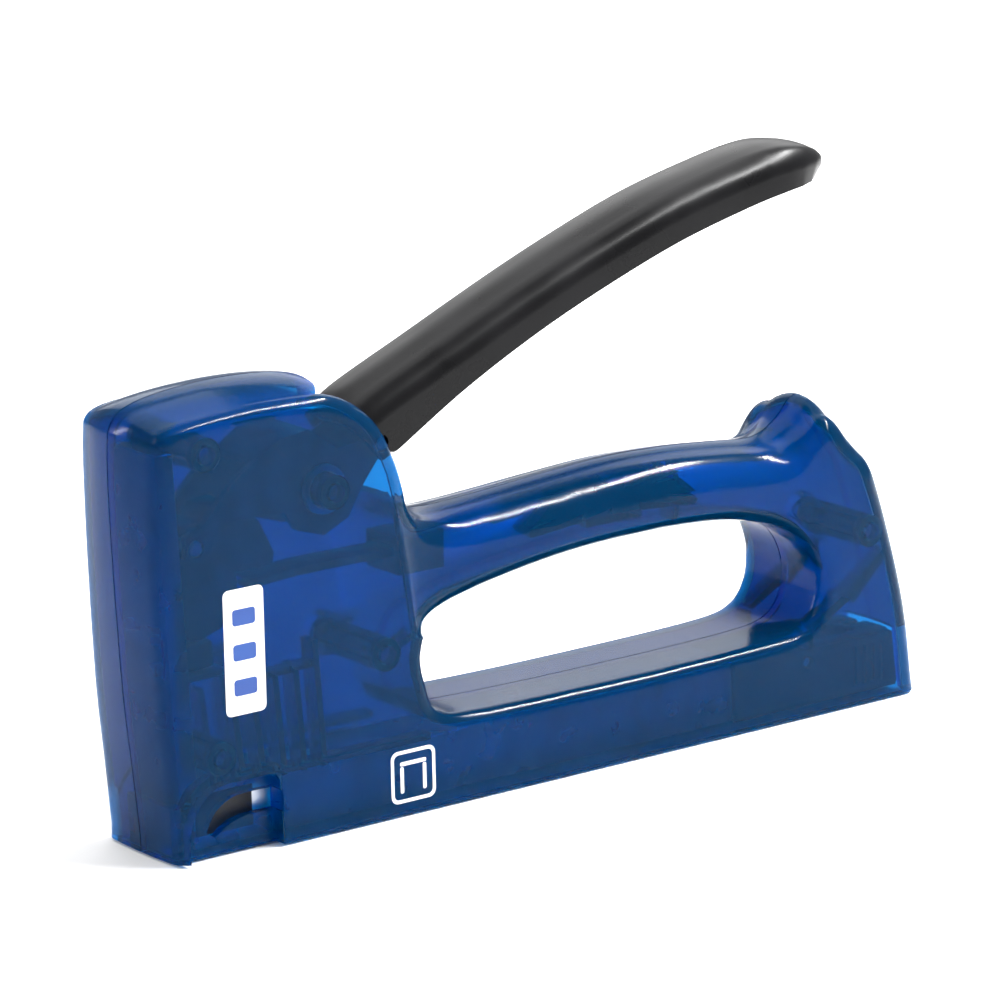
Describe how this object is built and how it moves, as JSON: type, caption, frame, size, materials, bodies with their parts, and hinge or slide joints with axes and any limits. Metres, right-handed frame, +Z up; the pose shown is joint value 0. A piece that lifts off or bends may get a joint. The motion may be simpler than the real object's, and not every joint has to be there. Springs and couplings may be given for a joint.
{
  "type": "staple gun",
  "caption": "Hand staple gun with a translucent split body, a squeezing lever, a finger hole, a spring-driven hammer and a pull-out staple magazine in the base.",
  "frame": {"origin": "middle of the nose plate's bottom face, where a staple leaves", "axes": "+X from the nose to the rear, +Y to the tool's right side, +Z up from the work surface"},
  "size_m": [0.1889, 0.0276, 0.1183],
  "materials": {
    "blue_plastic": "translucent deep blue, smooth outside",
    "black_lever": "satin black",
    "dark_steel": "blackened",
    "zinc_steel": "zinc plated",
    "staple_wire": "bright wire",
    "black_plastic": "fine grain",
    "rubber": "matt"
  },
  "bodies": {
    "housing": {"left_shell": "blue_plastic", "right_shell": "blue_plastic", "shell_screw_front_top": "zinc_steel", "shell_screw_pivot": "zinc_steel", "shell_screw_middle": "zinc_steel", "shell_screw_front_bottom": "zinc_steel", "shell_screw_rear": "zinc_steel", "pivot_sleeve": "zinc_steel", "guide_channel": "zinc_steel", "nose_plate": "zinc_steel", "bumper_bracket": "zinc_steel", "hammer_bumper": "rubber", "spring_anchor": "dark_steel", "power_spring": "dark_steel", "magazine_track": "zinc_steel"},
    "lever": {"lever_arm": "black_lever", "lever_core": "dark_steel", "lever_cross_pin": "zinc_steel", "lift_pin": "zinc_steel"},
    "hammer": {"hammer_block": "dark_steel", "driver_blade": "zinc_steel"},
    "magazine": {"staple_rail": "zinc_steel", "staple_strip": "staple_wire", "pull_piece": "black_plastic", "pusher_rod": "zinc_steel", "latch_pin": "zinc_steel", "pusher_spring": "zinc_steel"},
    "pusher": {"pusher": "zinc_steel", "pusher_slider": "black_plastic"},
    "latch": {"magazine_latch": "black_plastic"}
  },
  "joints": [
    {"name": "lever_pivot", "type": "hinge", "parent": "housing", "child": "lever", "pos_m": [0.0353, 0, 0.0666], "axis": [0, 1, 0], "range_deg": [0, 21], "stiffness_Nm_per_rad": 8, "springref_deg": -5.73},
    {"name": "hammer_slide", "type": "slide", "parent": "housing", "child": "hammer", "axis": [-0.0436, 0, 0.999], "range_m": [0, 0.0113], "deforming": ["power_spring"]},
    {"name": "magazine_slide", "type": "slide", "parent": "housing", "child": "magazine", "axis": [1, 0, 0], "range_m": [0, 0.1]},
    {"name": "pusher_slide", "type": "slide", "parent": "magazine", "child": "pusher", "axis": [1, 0, 0], "range_m": [0, 0.06], "stiffness_N_per_m": 40, "springref_m": -0.04, "deforming": ["pusher_spring"]},
    {"name": "latch_pivot", "type": "hinge", "parent": "magazine", "child": "latch", "pos_m": [0.155, 0, 0.0094], "axis": [0, 1, 0], "range_deg": [0, 4], "stiffness_Nm_per_rad": 0.2, "springref_deg": -11.46}
  ],
  "couplings": [
    {"joint": "hammer_slide", "follows": "lever_pivot", "m_per_rad": 0.03}
  ]
}
